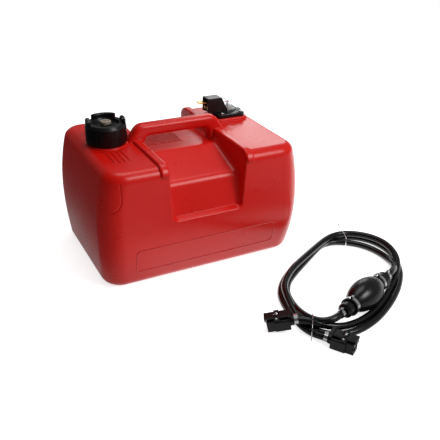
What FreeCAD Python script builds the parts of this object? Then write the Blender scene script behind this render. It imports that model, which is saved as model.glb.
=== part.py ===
import FreeCAD, Part
import math
import os
from FreeCAD import Vector, Placement, Rotation

# Portable outboard fuel tank with its filler cap, fuel meter and hose set.
# Millimetres. +X along the tank towards the meter, -Y towards the hose, +Z up.
# The origin is under the middle of the tank, on the surface it stands on.

os.makedirs("parts", exist_ok=True)

# ---- tank body
tank_length = 385.0
tank_width = 282.0
tank_height = 219.0
belly_height = 108.0
end_inset_low = 7.0
end_inset_high = 15.0
side_inset_low = 20.0
side_inset_high = 3.0
corner_radius = 37.0
bottom_edge_radius = 19.0
top_edge_radius = 19.0
wall = 3.0

# ---- hand recess, handle and ridges
grip_x = -2.0
recess_half_top = tank_length / 2 - 120.5
recess_half_low = recess_half_top - 6.0
recess_depth = 16.0
recess_floor = tank_height - recess_depth
recess_floor_front = 27.0
recess_floor_back = 78.0
shoulder_inset = 29.0
shoulder_drop = 42.0
shoulder_y = tank_width / 2 - shoulder_inset
shoulder_z = tank_height - shoulder_drop
panel_depth = 12.0
lip_depth = 97.0
lip_z = tank_height - lip_depth
lip_drop = 13.0
recess_corner = 10.0
shoulder_radius = 16.0
ridge_width = 15.0
ridge_height = 4.5
ridge_end_z = tank_height - 14.0
mouth_round = 3.0
handle_rise = 30.0
handle_top = tank_height + handle_rise
handle_thick = 22.0
handle_depth = 24.0
handle_foot_half = recess_half_top + 30.0
handle_bar_half = recess_half_top + 4.0
handle_bend = 22.0
handle_gap_half = recess_half_top - 9.0
handle_round = 8.0
rib_count = 16
rib_pitch = 4.4
rib_width = 2.0
rib_height = 1.0
rib_back = 60.0
rib_front = 5.0
label_half = tank_length / 2 - 56.5
label_low = 30.0
label_high = 76.0
label_corner = 8.0
label_line = 1.6
label_rise = 0.7
corner_groove_x = 35.5 - tank_length / 2
corner_groove_z = tank_height - 67.0
corner_groove_round = 26.0
corner_groove_width = 2.0
corner_groove_depth = 0.8
corner_groove_end = 15.0
mark_count = 4
mark_length = 48.0
mark_pitch = 9.0
mark_width = 2.4
mark_rise = 0.8
mark_x = 45.5 - tank_length / 2
mark_y = -86.0
mark_angle = 90.0

# ---- filler neck and cap
cap_inset = 61.5
cap_x = cap_inset - tank_length / 2
cap_y = 8.0
neck_radius = 27.0
neck_bore = 22.0
neck_height = 29.0
collar_radius = 36.5
collar_height = 2.5
thread_pitch = 8.0
thread_depth = 1.6
thread_width = 3.0
thread_turns = 1.5
thread_start = 7.0
cap_radius = 36.0
cap_foot_radius = 34.5
cap_gap = 0.5
cap_clearance = 0.4
cap_plate = 8.0
cap_dish = 4.0
cap_dish_radius = 22.0
lug_height = 7.2
lug_depth = 8.0
gasket_thick = 2.0
flute_count = 30
flute_radius = 0.9
vent_disc_radius = 9.5
vent_disc_height = 5.0
vent_stem_radius = 3.0
vent_stem_length = 13.0
vent_seal_thick = 1.5
running = 0.05
baffle_radius = 17.0
baffle_thick = 1.5
baffle_drop = 7.0

# ---- fuel meter
meter_inset = 92.5
meter_length = 60.0
meter_x0 = tank_length / 2 - meter_inset
meter_x1 = meter_x0 + meter_length
meter_y0 = 29.0
meter_y1 = 82.0
boss_margin = 5.0
boss_height = 5.0
meter_gasket_thick = 1.5
flange_thick = 6.0
flange_corner = 8.0
hood_x0 = meter_x0 - 16.0
hood_y0 = 42.0
hood_y1 = 66.0
hood_rise = 43.0
hood_top = tank_height + hood_rise
hood_wall = 2.0
hood_top_x1 = meter_x0 + 14.0
hood_foot_x1 = meter_x0 + 26.0
hood_nose = 24.0
hole_x0 = meter_x0 - 3.0
hole_x1 = meter_x0 + 41.0
hole_y0 = 43.5
hole_y1 = 69.5
hole_corner = 6.0
screw_x = [meter_x0 + 12.0, meter_x1 - 7.5]
screw_y = [35.5, 75.5]
screw_radius = 1.9
screw_head_radius = 3.8
screw_head_height = 2.6
screw_length = 16.0
post_radius = 5.0
lens_x0 = meter_x0 + 26.5
lens_x1 = meter_x1 - 3.0
lens_y0 = 43.0
lens_y1 = 71.0
lens_apex_x = meter_x0 + 31.0
lens_apex_height = 21.0
lens_wall = 1.6
lens_foot = 2.5
pivot_x = meter_x0 + 33.0
pivot_drop = 2.5
pivot_pin_radius = 1.5
hub_radius = 3.4
hub_gap = 0.4
arm_y = 65.5
pointer_y = 58.0
pointer_length = 16.0
pointer_width = 2.0
pointer_thick = 0.8
pointer_rest = 5.0
slot_x0 = meter_x0 + 20.5
slot_x1 = meter_x0 + 43.0
slot_y0 = 55.0
slot_y1 = 69.0
arm_first = tank_height - 139.0
arm_first_rest = -5.0
arm_second = 105.0
arm_second_rest = 25.0
arm_radius = 1.4
float_radius = 13.0
float_length = 22.0
dial_thick = 0.8
tube_x = meter_x0 + 4.0
tube_y = 49.0
tube_radius = 3.5
tube_bore = 2.5
tube_foot_gap = 6.0
strainer_radius = 7.5
strainer_height = 22.0
strainer_wall = 1.2
joint_x0 = meter_x0 - 3.0
joint_x1 = meter_x0 + 11.0
joint_z = tank_height + 23.0
joint_height = 14.0
pin_radius = 3.5
pin_spacing = 11.0
pin_length = 12.0
pin_bore = 1.8
foot_wall = 1.0
catch_reach = 16.0
catch_thick = 1.5
catch_gap = 1.0
catch_width = 16.0
catch_seat = 7.0
hook_gap = 0.5

# ---- hose set lying on the floor
hose_radius = 6.0
bulb_x = 188.0
bulb_y = -349.0
bulb_yaw = 22.0
bulb_radius = 26.0
bulb_wall = 3.0
bulb_half = 39.0
bulb_neck_radius = 14.0
bulb_neck = 10.0
valve_radius = 12.5
valve_length = 20.0
valve_lip_radius = 15.5
valve_lip = 3.0
barb_radius = 4.0
barb_length = 12.0
barb_bore = 2.2
disc_radius = 9.0
disc_thick = 2.0
clamp_thick = 0.8
clamp_width = 6.0
clamp_ear = 4.0
clamp_gap = 4.0
coil_layers = 2
bulb_room = 20.0
bulb_gap = 0.5
tie_reach = 24.0
tie_tail = 14.0
connector_length = 37.0
connector_width = 25.0
connector_height = 20.0
connector_corner = 3.0
nose_width = 19.0
nose_length = 13.0
connector_boss_radius = 8.0
connector_boss = 6.0
socket_depth = 20.0
socket_clearance = 0.4
seal_section = 1.2
lever_length = 34.0
lever_width = 15.0
lever_thick = 3.0
lever_gap = 4.0
lever_overhang = 2.5
lever_pivot_x = 1.0
lever_pin_radius = 1.5
lever_hook = 6.0
hook_thick = 2.0
hook_half = 5.5
lever_ear = 2.5
ear_rise = 0.5
spring_wire = 0.7
spring_turns = 4
tank_connector_at = Vector(26.5, -341.4, 0)
tank_connector_yaw = 150.7
tank_connector_tilt = 14.0
engine_connector_at = Vector(90.0, -424.0, 0)
engine_connector_yaw = -57.0
engine_connector_tilt = 0.0
tie_radius = 0.8


# ---- helpers
def box(x0, x1, y0, y1, z0, z1):
    return Part.makeBox(x1 - x0, y1 - y0, z1 - z0, Vector(x0, y0, z0))


def rod(x, y, z, radius, height):
    return Part.makeCylinder(radius, height, Vector(x, y, z))


def ring(x, y, z, outer, inner, height):
    return rod(x, y, z, outer, height).cut(rod(x, y, z, inner, height))


def cross_rod(start, direction, radius, length):
    return Part.makeCylinder(radius, length, start, direction)


def prism(points, direction):
    """Solid swept along direction from a closed polygon of points."""
    wire = Part.makePolygon(points + [points[0]])
    return Part.Face(wire).extrude(direction)


def rounded_wire(corners):
    """Closed wire of straight runs from (point, radius) corners, each rounded by its radius."""
    count = len(corners)
    edges = []
    joints = []
    for index in range(count):
        point, radius = corners[index]
        before = corners[index - 1][0] - point
        after = corners[(index + 1) % count][0] - point
        if radius == 0:
            joints.append((point, point))
            continue
        half_turn = (math.pi - before.getAngle(after)) / 2
        before.normalize()
        after.normalize()
        start = point + before * (radius * math.tan(half_turn))
        end = point + after * (radius * math.tan(half_turn))
        bisector = (before + after).normalize()
        middle = point + bisector * (radius / math.cos(half_turn) - radius)
        joints.append((start, end))
        edges.append(Part.Arc(start, middle, end).toShape())
    for index in range(count):
        edges.append(Part.makeLine(joints[index - 1][1], joints[index][0]))
    return Part.Wire(Part.__sortEdges__(edges))


def rounded_prism(corners, direction):
    return Part.Face(rounded_wire(corners)).extrude(direction)


def lathe(profile, centre):
    """Solid of revolution about Z from (radius, height) points."""
    points = [centre + Vector(radius, 0, height) for radius, height in profile]
    wire = Part.makePolygon(points + [points[0]])
    return Part.Face(wire).revolve(centre, Vector(0, 0, 1), 360)


def fuse_all(shapes):
    return shapes[0].fuse(shapes[1:]).removeSplitter()


def upright_edges(shape, least):
    """Edges that rise by at least the given height."""
    return [edge for edge in shape.Edges if edge.BoundBox.ZLength > least]


def level_edges(shape, height):
    """Edges that lie flat at one height."""
    def is_level(edge):
        bounds = edge.BoundBox
        return abs(bounds.ZMin - height) < 0.01 and abs(bounds.ZMax - height) < 0.01
    return [edge for edge in shape.Edges if is_level(edge)]


def rounded_block(x0, x1, y0, y1, z0, z1, corner):
    block = box(x0, x1, y0, y1, z0, z1)
    return block.makeFillet(corner, upright_edges(block, (z1 - z0) / 2))


def save(name, shape):
    shape.exportStep("parts/%s.step" % name)
    print("%-24s %2d solid %9.0f mm3" % (name, len(shape.Solids), shape.Volume))


# ---- tank
def bulge(radius, rise):
    """How far a barrel side falls back at a height away from the belly."""
    return radius - math.sqrt(radius * radius - rise * rise)


def bulge_radius(inset, rise):
    return (rise * rise + inset * inset) / (2 * inset)


def barrel_profile(half, inset_low, inset_high, offset):
    """Closed profile (across, height) with barrel sides, moved in by offset."""
    low = offset
    high = tank_height - offset
    radius_low = bulge_radius(inset_low, belly_height) - offset
    radius_high = bulge_radius(inset_high, tank_height - belly_height) - offset

    def side(height):
        radius = radius_low if height < belly_height else radius_high
        return half - offset - bulge(radius, height - belly_height)

    low_mid = (low + belly_height) / 2
    high_mid = (high + belly_height) / 2
    return [(side(z), z) for z in (low, low_mid, belly_height, high_mid, high)]


def barrel_slab(half, inset_low, inset_high, offset, across, sweep):
    """Barrel profile in the plane of across and Z, swept both ways along sweep."""
    reach = tank_length
    right = barrel_profile(half, inset_low, inset_high, offset)

    def place(side, point):
        return across * (side * point[0]) + Vector(0, 0, point[1]) - sweep * (reach / 2)

    r = [place(1, point) for point in right]
    l = [place(-1, point) for point in right]
    edges = [
        Part.makeLine(l[0], r[0]),
        Part.Arc(r[0], r[1], r[2]).toShape(),
        Part.Arc(r[2], r[3], r[4]).toShape(),
        Part.makeLine(r[4], l[4]),
        Part.Arc(l[4], l[3], l[2]).toShape(),
        Part.Arc(l[2], l[1], l[0]).toShape(),
    ]
    return Part.Face(Part.Wire(edges)).extrude(sweep * reach)


def tank_form(offset):
    """Rounded barrel-sided block, moved in by offset on every side."""
    along = barrel_slab(tank_length / 2, end_inset_low, end_inset_high, offset,
                        Vector(1, 0, 0), Vector(0, 1, 0))
    across = barrel_slab(tank_width / 2, side_inset_low, side_inset_high, offset,
                         Vector(0, 1, 0), Vector(1, 0, 0))
    form = along.common(across)
    form = form.makeFillet(corner_radius - offset, upright_edges(form, tank_height / 4))
    form = form.makeFillet(bottom_edge_radius - offset, level_edges(form, offset))
    return form.makeFillet(top_edge_radius - offset, level_edges(form, tank_height - offset))


def recess_tool(grow):
    """What the hand recess takes out of the tank, front and back, grown by grow."""
    top = handle_top + 60
    outside = tank_width / 2 + 30
    panel_y = tank_width / 2 - panel_depth
    profile = [
        (shoulder_y - grow / 2, shoulder_z - grow),
        (panel_y - grow, lip_z),
        (outside, lip_z - lip_drop - grow),
        (outside, top),
    ]
    front = [Vector(-tank_length, -recess_floor_front, recess_floor - grow)]
    front += [Vector(-tank_length, -y, z) for y, z in profile]
    back = [Vector(-tank_length, y, z) for y, z in reversed(profile)]
    back.append(Vector(-tank_length, recess_floor_back, recess_floor - grow))
    body = prism(front[::-1] + back[::-1], Vector(2 * tank_length, 0, 0))
    slope = (recess_half_top - recess_half_low) / (tank_height - lip_z)
    low_z = lip_z - 40
    half_low = recess_half_low + grow - slope * 40
    half_top = recess_half_top + grow + slope * (top - tank_height)
    corners = [(-half_low, low_z), (half_low, low_z), (half_top, top), (-half_top, top)]
    wedge = prism([Vector(grip_x + x, -tank_width, z) for x, z in corners], Vector(0, 2 * tank_width, 0))
    tool = body.common(wedge)
    return tool


def round_recess(tool, radius, shoulder):
    """Rounds the recess: its shoulder lines, then the edges at its side walls."""
    def is_shoulder(edge):
        bounds = edge.BoundBox
        level = abs(bounds.ZMax - shoulder_z) < 4 and abs(bounds.ZMin - shoulder_z) < 4
        return level and bounds.XLength > recess_half_low
    tool = tool.makeFillet(shoulder, [edge for edge in tool.Edges if is_shoulder(edge)])

    def is_side(edge):
        bounds = edge.BoundBox
        below = bounds.ZMax < recess_floor + 1
        inside = bounds.YMax < tank_width / 2 and bounds.YMin > -tank_width / 2
        slanted = bounds.XLength < 20 and bounds.ZMax > lip_z - 1
        return below and slanted and (inside or bounds.ZMin < lip_z)
    return tool.makeFillet(radius, [edge for edge in tool.Edges if is_side(edge)])


def handle():
    """Arched grip that stands across the middle of the recess."""
    low = recess_floor - 12
    under = handle_top - handle_thick
    outline = [
        (-handle_foot_half, tank_height - 8, 0),
        (-handle_bar_half, handle_top, handle_bend),
        (handle_bar_half, handle_top, handle_bend),
        (handle_foot_half, tank_height - 8, 0),
        (handle_gap_half + 16, low, 0),
        (handle_gap_half, low, 0),
        (handle_gap_half, under, handle_bend / 2),
        (-handle_gap_half, under, handle_bend / 2),
        (-handle_gap_half, low, 0),
        (-handle_gap_half - 16, low, 0),
    ]
    corners = [(Vector(grip_x + x, -handle_depth / 2, z), radius) for x, z, radius in outline]
    grip = rounded_prism(corners, Vector(0, handle_depth, 0))

    def is_rim(edge):
        bounds = edge.BoundBox
        return bounds.YLength < 0.01 and bounds.ZMax > tank_height - 7
    return grip.makeFillet(handle_round, [edge for edge in grip.Edges if is_rim(edge)])


def ridges():
    """Raised rims along both sides of the recess, which bend down over the shoulders."""
    proud = tank_form(-ridge_height)
    rims = []
    for side in (-1, 1):
        x_in = grip_x + side * recess_half_top
        x_out = grip_x + side * (recess_half_top + ridge_width)
        strip = box(min(x_in, x_out), max(x_in, x_out), -tank_width, tank_width,
                    ridge_end_z, tank_height + 20)
        rim = proud.common(strip)
        lengthwise = [e for e in rim.Edges if e.BoundBox.XLength < 0.01 and e.BoundBox.ZMax > tank_height]
        rims.append(rim.makeFillet(ridge_height - 1, lengthwise))
    return rims


def rounded_frame(x0, x1, z0, z1, corner, line):
    """Frame of one line width in the plane of X and Z, swept through the tank along Y."""
    loops = []
    for inset in (0, line):
        places = [(x0 + inset, z0 + inset), (x1 - inset, z0 + inset),
                  (x1 - inset, z1 - inset), (x0 + inset, z1 - inset)]
        corners = [(Vector(x, -tank_width, z), corner - inset) for x, z in places]
        loops.append(rounded_prism(corners, Vector(0, 2 * tank_width, 0)))
    return loops[0].cut(loops[1])


def label_borders():
    """Thin raised frame round the plain label field, front and back."""
    frame = rounded_frame(-label_half, label_half, label_low, label_high, label_corner, label_line)
    return tank_form(-label_rise).common(frame)


def corner_grooves(outer):
    """Shallow line round the upper left of the front and back faces."""
    frame = rounded_frame(-tank_length, corner_groove_x, corner_groove_z, 2 * tank_height,
                          corner_groove_round, corner_groove_width)
    faces = box(corner_groove_end - tank_length / 2, corner_groove_x + corner_groove_width,
                -tank_width, tank_width, corner_groove_z - corner_groove_width,
                tank_height - corner_groove_end)
    return frame.common(outer).common(faces).cut(tank_form(corner_groove_depth))


def cap_marks():
    """Short slanted marks moulded on the top beside the cap."""
    marks = []
    for index in range(mark_count):
        mark = box(0, mark_length, -mark_width / 2, mark_width / 2, -wall / 2, mark_rise)
        place = Vector(mark_x + index * mark_pitch, mark_y, tank_height)
        mark.Placement = Placement(place, Rotation(Vector(0, 0, 1), mark_angle))
        marks.append(mark)
    return marks


def mouth_edges(shell, outer, tool):
    """Edges below the top where the recess meets the outside of the tank."""
    found = []
    for edge in shell.Edges:
        middle = edge.valueAt((edge.FirstParameter + edge.LastParameter) / 2)
        spot = Part.Vertex(middle)
        on_outside = outer.Shells[0].distToShape(spot)[0] < 0.02
        on_recess = tool.Shells[0].distToShape(spot)[0] < 0.02
        if on_outside and on_recess and middle.z < ridge_end_z:
            found.append(edge)
    return found


def floor_ribs():
    """Fine anti-slip ribs on the floor of the recess."""
    first = grip_x - rib_pitch * (rib_count - 1) / 2 - 20
    ribs = []
    for index in range(rib_count):
        x = first + index * rib_pitch
        ribs.append(box(x, x + rib_width, rib_front, rib_back, recess_floor - 1, recess_floor + rib_height))
    return ribs


def helical_ridge(centre, root, crest, width, z, turns, start_angle):
    """Thread ridge: a trapezoid swept up a helix about a vertical line."""
    helix = Part.makeHelix(thread_pitch, thread_pitch * turns, root)
    points = [
        Vector(root, 0, -width / 2),
        Vector(crest, 0, -width / 4),
        Vector(crest, 0, width / 4),
        Vector(root, 0, width / 2),
    ]
    section = Part.makePolygon(points + [points[0]])
    solid = Part.Wire(helix).makePipeShell([section], True, True)
    solid.Placement = Placement(centre + Vector(0, 0, z), Rotation(Vector(0, 0, 1), start_angle))
    return solid


neck_top = tank_height + neck_height
cap_axis = Vector(cap_x, cap_y, 0)
flange_z = tank_height + boss_height + meter_gasket_thick
flange_top = flange_z + flange_thick
pivot_z = flange_top - pivot_drop


def screw_places():
    return [(x, y) for x in screw_x for y in screw_y]


def tank_shell():
    outer = tank_form(0)
    hollow = tank_form(wall)
    tool = round_recess(recess_tool(0), recess_corner, shoulder_radius)
    shell = outer.cut(tool)
    shell = shell.makeFillet(mouth_round, mouth_edges(shell, outer, tool))
    shell = shell.cut(corner_grooves(outer))
    hollow = hollow.cut(recess_tool(wall))
    boss = rounded_block(meter_x0 - boss_margin, meter_x1 + boss_margin, meter_y0 - boss_margin,
                         meter_y1 + boss_margin, tank_height - 19, tank_height + boss_height, 12)
    boss = boss.makeFillet(2.5, level_edges(boss, tank_height + boss_height))
    neck = rod(cap_x, cap_y, tank_height - wall - 3, neck_radius, neck_height + wall + 3)
    collar = rod(cap_x, cap_y, tank_height - 12, collar_radius, collar_height + 12)
    shell = fuse_all([shell, handle(), boss, collar, label_borders()] + ridges() + floor_ribs() + cap_marks())
    shell = shell.cut(hollow)
    shell = shell.fuse(neck)
    posts = [rod(x, y, tank_height - 14, post_radius, 14) for x, y in screw_places()]
    shell = shell.fuse(posts)
    thread = helical_ridge(cap_axis, neck_radius - 0.4, neck_radius + thread_depth, thread_width,
                           tank_height + thread_start, thread_turns, 0)
    shell = shell.fuse(thread)
    mouth = rod(cap_x, cap_y, tank_height - 30, neck_bore, neck_height + 40)
    shell = shell.cut(mouth)
    opening = rounded_block(hole_x0, hole_x1, hole_y0, hole_y1, tank_height - 30,
                            tank_height + 20, hole_corner)
    shell = shell.cut(opening)
    depth = screw_length - flange_thick - meter_gasket_thick
    for x, y in screw_places():
        shell = shell.cut(rod(x, y, tank_height + boss_height - depth, screw_radius, depth + 1))
    return shell


# ---- cap
cap_bottom = tank_height + collar_height + cap_gap
cap_inner_top = neck_top + gasket_thick
cap_top = cap_inner_top + cap_plate
cap_bore = neck_radius + thread_depth + cap_clearance
dish_floor = cap_top - cap_dish


def lug(angle, spread):
    """One grip lug on the cap's rim, over a spread of degrees."""
    inner = cap_radius - lug_depth
    arc = ring(0, 0, 0, cap_radius - 1, inner, lug_height + 4)
    reach = cap_radius * 2
    half = math.radians(spread / 2)
    wedge = prism([Vector(0, 0, 0), Vector(reach, -reach * math.tan(half), 0),
                   Vector(reach, reach * math.tan(half), 0)], Vector(0, 0, lug_height + 4))
    piece = arc.common(wedge)
    piece = piece.makeFillet(3.0, level_edges(piece, lug_height + 4))
    piece.Placement = Placement(Vector(cap_x, cap_y, cap_top - 4), Rotation(Vector(0, 0, 1), angle))
    return piece


def filler_cap():
    profile = [
        (cap_bore, cap_bottom),
        (cap_foot_radius, cap_bottom),
        (cap_radius, cap_bottom + 5),
        (cap_radius, cap_top - 5),
        (cap_radius - 4, cap_top),
        (cap_dish_radius + 2, cap_top),
        (cap_dish_radius, dish_floor),
        (vent_stem_radius + running, dish_floor),
        (vent_stem_radius + running, cap_inner_top),
        (cap_bore, cap_inner_top),
    ]
    cap = lathe(profile, cap_axis)
    cap = fuse_all([cap, lug(170, 42), lug(80, 76), lug(-10, 42)])
    flutes = []
    for index in range(flute_count):
        angle = math.radians(index * 360.0 / flute_count)
        x = cap_x + (cap_radius + 0.5) * math.cos(angle)
        y = cap_y + (cap_radius + 0.5) * math.sin(angle)
        flutes.append(rod(x, y, cap_bottom + 5, flute_radius, cap_top - cap_bottom - 12))
    cap = cap.cut(flutes)
    threads = []
    for index in range(3):
        threads.append(cap_thread(index * 120.0))
    return cap.fuse(threads)


def cap_thread(angle):
    """Short thread segment that runs in the groove of the neck's thread."""
    groove = thread_start + thread_pitch / 2
    z = tank_height + groove + thread_pitch * angle / 360.0
    return helical_ridge(cap_axis, cap_bore + 0.5, neck_radius + cap_clearance, thread_width * 0.8,
                         z, 0.1, angle)


def cap_gasket():
    return ring(cap_x, cap_y, neck_top, cap_bore - cap_clearance, neck_bore, gasket_thick)


def cap_baffle():
    """Splash disc on three legs under the cap's plate."""
    z = cap_inner_top - baffle_drop
    disc = rod(cap_x, cap_y, z, baffle_radius, baffle_thick)
    legs = []
    for index in range(3):
        angle = math.radians(index * 120 + 30)
        x = cap_x + (baffle_radius - 3) * math.cos(angle)
        y = cap_y + (baffle_radius - 3) * math.sin(angle)
        legs.append(rod(x, y, z, 2.0, baffle_drop))
    return fuse_all([disc] + legs)


def vent_screw():
    z = dish_floor + vent_seal_thick
    disc = rod(cap_x, cap_y, z, vent_disc_radius, vent_disc_height)
    disc = disc.makeFillet(1.0, level_edges(disc, z + vent_disc_height))
    stem = rod(cap_x, cap_y, z - vent_stem_length + vent_disc_height, vent_stem_radius, vent_stem_length)
    slot = box(cap_x - vent_disc_radius, cap_x + vent_disc_radius, cap_y - 0.8, cap_y + 0.8,
               z + vent_disc_height - 1.5, z + vent_disc_height + 1)
    return disc.fuse(stem).cut(slot)


def vent_seal():
    return ring(cap_x, cap_y, dish_floor, vent_stem_radius + 2.5, vent_stem_radius + running, vent_seal_thick)


# ---- meter
def meter_housing():
    flange = rounded_block(meter_x0, meter_x1, meter_y0, meter_y1, flange_z, flange_top, flange_corner)
    flange = flange.makeFillet(1.5, level_edges(flange, flange_top))
    side = [(hood_x0, flange_top + 3), (hood_x0, hood_top), (hood_top_x1, hood_top),
            (hood_foot_x1, hood_top - hood_nose), (hood_foot_x1, flange_z + 1), (meter_x0 + 2, flange_z + 1)]
    hood = prism([Vector(x, hood_y0, z) for x, z in side], Vector(0, hood_y1 - hood_y0, 0))
    hood = hood.makeFillet(1.5, [e for e in hood.Edges if e.BoundBox.ZMin > hood_top - 1])
    room = box(hood_x0 - 5, hood_top_x1 - hood_wall, hood_y0 + hood_wall, hood_y1 - hood_wall,
               flange_top, hood_top - hood_wall)
    housing = fuse_all([flange, hood]).cut(room)
    slot = box(slot_x0, slot_x1, slot_y0, slot_y1, flange_z - 1, flange_top + 1)
    tunnel = box(slot_x0, lens_x0, slot_y0, hood_y1 - hood_wall, flange_z - 1, flange_top + 8)
    housing = housing.cut([slot, tunnel])
    housing = housing.cut(rod(tube_x, tube_y, flange_z - 1, tube_radius, flange_thick + 2))
    for x, y in screw_places():
        housing = housing.cut(rod(x, y, flange_z - 1, screw_radius + 0.2, flange_thick + 2))
    pin = cross_rod(Vector(pivot_x, slot_y0 - 5, pivot_z), Vector(0, 1, 0), pivot_pin_radius,
                    slot_y1 - slot_y0 + 10)
    return housing.cut(pin)


def meter_gasket():
    z = tank_height + boss_height
    sheet = rounded_block(meter_x0, meter_x1, meter_y0, meter_y1, z, z + meter_gasket_thick, flange_corner)
    sheet = sheet.cut(rounded_block(hole_x0, hole_x1, hole_y0, hole_y1, z - 1, z + 3, hole_corner))
    for x, y in screw_places():
        sheet = sheet.cut(rod(x, y, z - 1, screw_radius + 0.2, meter_gasket_thick + 2))
    return sheet


def meter_screws():
    screws = []
    for x, y in screw_places():
        head = rod(x, y, flange_top, screw_head_radius, screw_head_height)
        head = head.makeFillet(1.2, level_edges(head, flange_top + screw_head_height))
        shank = rod(x, y, flange_top - screw_length + 0.5, screw_radius, screw_length)
        cross = box(x - 2.2, x + 2.2, y - 0.5, y + 0.5, flange_top + 1.4, flange_top + 5)
        other = box(x - 0.5, x + 0.5, y - 2.2, y + 2.2, flange_top + 1.4, flange_top + 5)
        screws.append(head.fuse(shank).cut([cross, other]))
    return Part.makeCompound(screws)


def lens_form(inset):
    """Wedge over the gauge, highest beside the hood, moved in by inset."""
    top = flange_top + lens_apex_height
    side = [
        (lens_x0 + inset, flange_top),
        (lens_x0 + inset, top - inset - 3),
        (lens_apex_x, top - inset * 1.2),
        (lens_x1 - inset * 2.2, flange_top + lens_foot),
        (lens_x1 - inset * 2.2, flange_top),
    ]
    points = [Vector(x, lens_y0 + inset, z) for x, z in side]
    return prism(points, Vector(0, lens_y1 - lens_y0 - 2 * inset, 0))


def gauge_lens():
    return lens_form(0).cut(lens_form(lens_wall))


def gauge_dial():
    """Scale plate inside the lens, behind the pointer."""
    top = flange_top + lens_apex_height
    side = [
        (lens_x0 + 2.5, flange_top),
        (lens_x0 + 2.5, top - 6),
        (lens_apex_x + 1, top - 5),
        (lens_x1 - 8, flange_top + 3),
        (lens_x1 - 8, flange_top),
    ]
    y = slot_y0 - 3
    return prism([Vector(x, y, z) for x, z in side], Vector(0, dial_thick, 0))


def pivot_pin():
    return cross_rod(Vector(pivot_x, slot_y0 - 5, pivot_z), Vector(0, 1, 0), pivot_pin_radius,
                     slot_y1 - slot_y0 + 10)


def swung(angle, length):
    """Vector from the pivot: straight down at 0, towards -X as the angle grows."""
    a = math.radians(angle)
    return Vector(-math.sin(a), 0, -math.cos(a)) * length


def arm_places():
    """The arm's start at the hub, its bend and its end."""
    start = Vector(pivot_x, arm_y, pivot_z)
    bend = start + swung(arm_first_rest, arm_first)
    end = bend + swung(arm_second_rest, arm_second)
    return start, bend, end


def arm_run(start, end):
    return cross_rod(start, end - start, arm_radius, (end - start).Length)


def float_arm():
    start, bend, end = arm_places()
    hub = cross_rod(Vector(pivot_x, slot_y0 + hub_gap, pivot_z), Vector(0, 1, 0), hub_radius,
                    slot_y1 - slot_y0 - 2 * hub_gap)
    knee = Part.makeSphere(arm_radius, bend)
    axle_length = float_length - 2
    axle = cross_rod(end - Vector(0, axle_length / 2, 0), Vector(0, 1, 0), arm_radius, axle_length)
    arm = fuse_all([hub, arm_run(start, bend), knee, arm_run(bend, end), axle])
    bore = cross_rod(Vector(pivot_x, slot_y0, pivot_z), Vector(0, 1, 0), pivot_pin_radius + running,
                     slot_y1 - slot_y0)
    return arm.cut(bore)


def fuel_float():
    bend, end = arm_places()[1:]
    side = end - Vector(0, float_length / 2, 0)
    body = cross_rod(side, Vector(0, 1, 0), float_radius, float_length)
    body = body.makeFillet(3.0, [e for e in body.Edges if e.BoundBox.YLength < 0.01])
    hole = cross_rod(side, Vector(0, 1, 0), arm_radius, float_length)
    return body.cut([hole, arm_run(bend, end)])


def gauge_pointer():
    pivot = Vector(pivot_x, pointer_y, pivot_z)
    eye = cross_rod(pivot - Vector(0, pointer_thick / 2, 0), Vector(0, 1, 0), hub_radius + 1.6, pointer_thick)
    eye = eye.cut(cross_rod(pivot - Vector(0, 1, 0), Vector(0, 1, 0), hub_radius, 2))
    blade = box(-pointer_width / 2, pointer_width / 2, -pointer_thick / 2, pointer_thick / 2,
                hub_radius + 0.6, pointer_length)
    blade.Placement = Placement(pivot, Rotation(Vector(0, 1, 0), pointer_rest))
    return eye.fuse(blade)


catch_z = joint_z + connector_height / 2 + catch_gap


def fuel_joint():
    block = box(joint_x0, joint_x1, hood_y0 + hood_wall, hood_y1 - hood_wall,
                joint_z - joint_height / 2, joint_z + joint_height / 2)
    block = block.makeChamfer(1.0, upright_edges(block, 5))
    mid_y = (hood_y0 + hood_y1) / 2
    pins = []
    for side in (-1, 1):
        base = Vector(joint_x0 + 1, mid_y + side * pin_spacing / 2, joint_z)
        pin = cross_rod(base, Vector(-1, 0, 0), pin_radius, pin_length + 1)
        tip = [e for e in pin.Edges if e.BoundBox.XMax < joint_x0 - pin_length + 0.1]
        pins.append(pin.makeChamfer(0.8, tip))
    foot = rod(tube_x, tube_y, flange_top, tube_radius + foot_wall, joint_z - joint_height / 2 - flange_top)
    seat = box(joint_x1 - catch_seat, joint_x1, mid_y - catch_width / 2, mid_y + catch_width / 2,
               joint_z, catch_z)
    joint = fuse_all([block, foot, seat] + pins)
    joint = joint.cut(rod(tube_x, tube_y, flange_top - 1, tube_radius, 12))
    port = Vector(joint_x0 - pin_length - 1, mid_y - pin_spacing / 2, joint_z)
    passage = cross_rod(port, Vector(1, 0, 0), pin_bore, tube_x - port.x)
    riser = rod(tube_x, tube_y, flange_top, pin_bore, joint_z - flange_top)
    return joint.cut([passage, riser])


def catch_plate():
    """Tongue over the fuel joint, with a slot that the hose connector's lever hooks into."""
    mid_y = (hood_y0 + hood_y1) / 2
    plate = box(hood_x0 - catch_reach, joint_x1, mid_y - catch_width / 2, mid_y + catch_width / 2,
                catch_z, catch_z + catch_thick)
    slot_half = hook_half + hook_gap
    slot = box(joint_x0 - hook_gap, joint_x0 + lever_overhang + hook_gap,
               mid_y - slot_half, mid_y + slot_half, catch_z - 1, catch_z + catch_thick + 1)
    return plate.cut(slot)


def pickup_tube():
    low = wall + tube_foot_gap
    return ring(tube_x, tube_y, low, tube_radius, tube_bore, flange_top + 11 - low)


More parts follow.
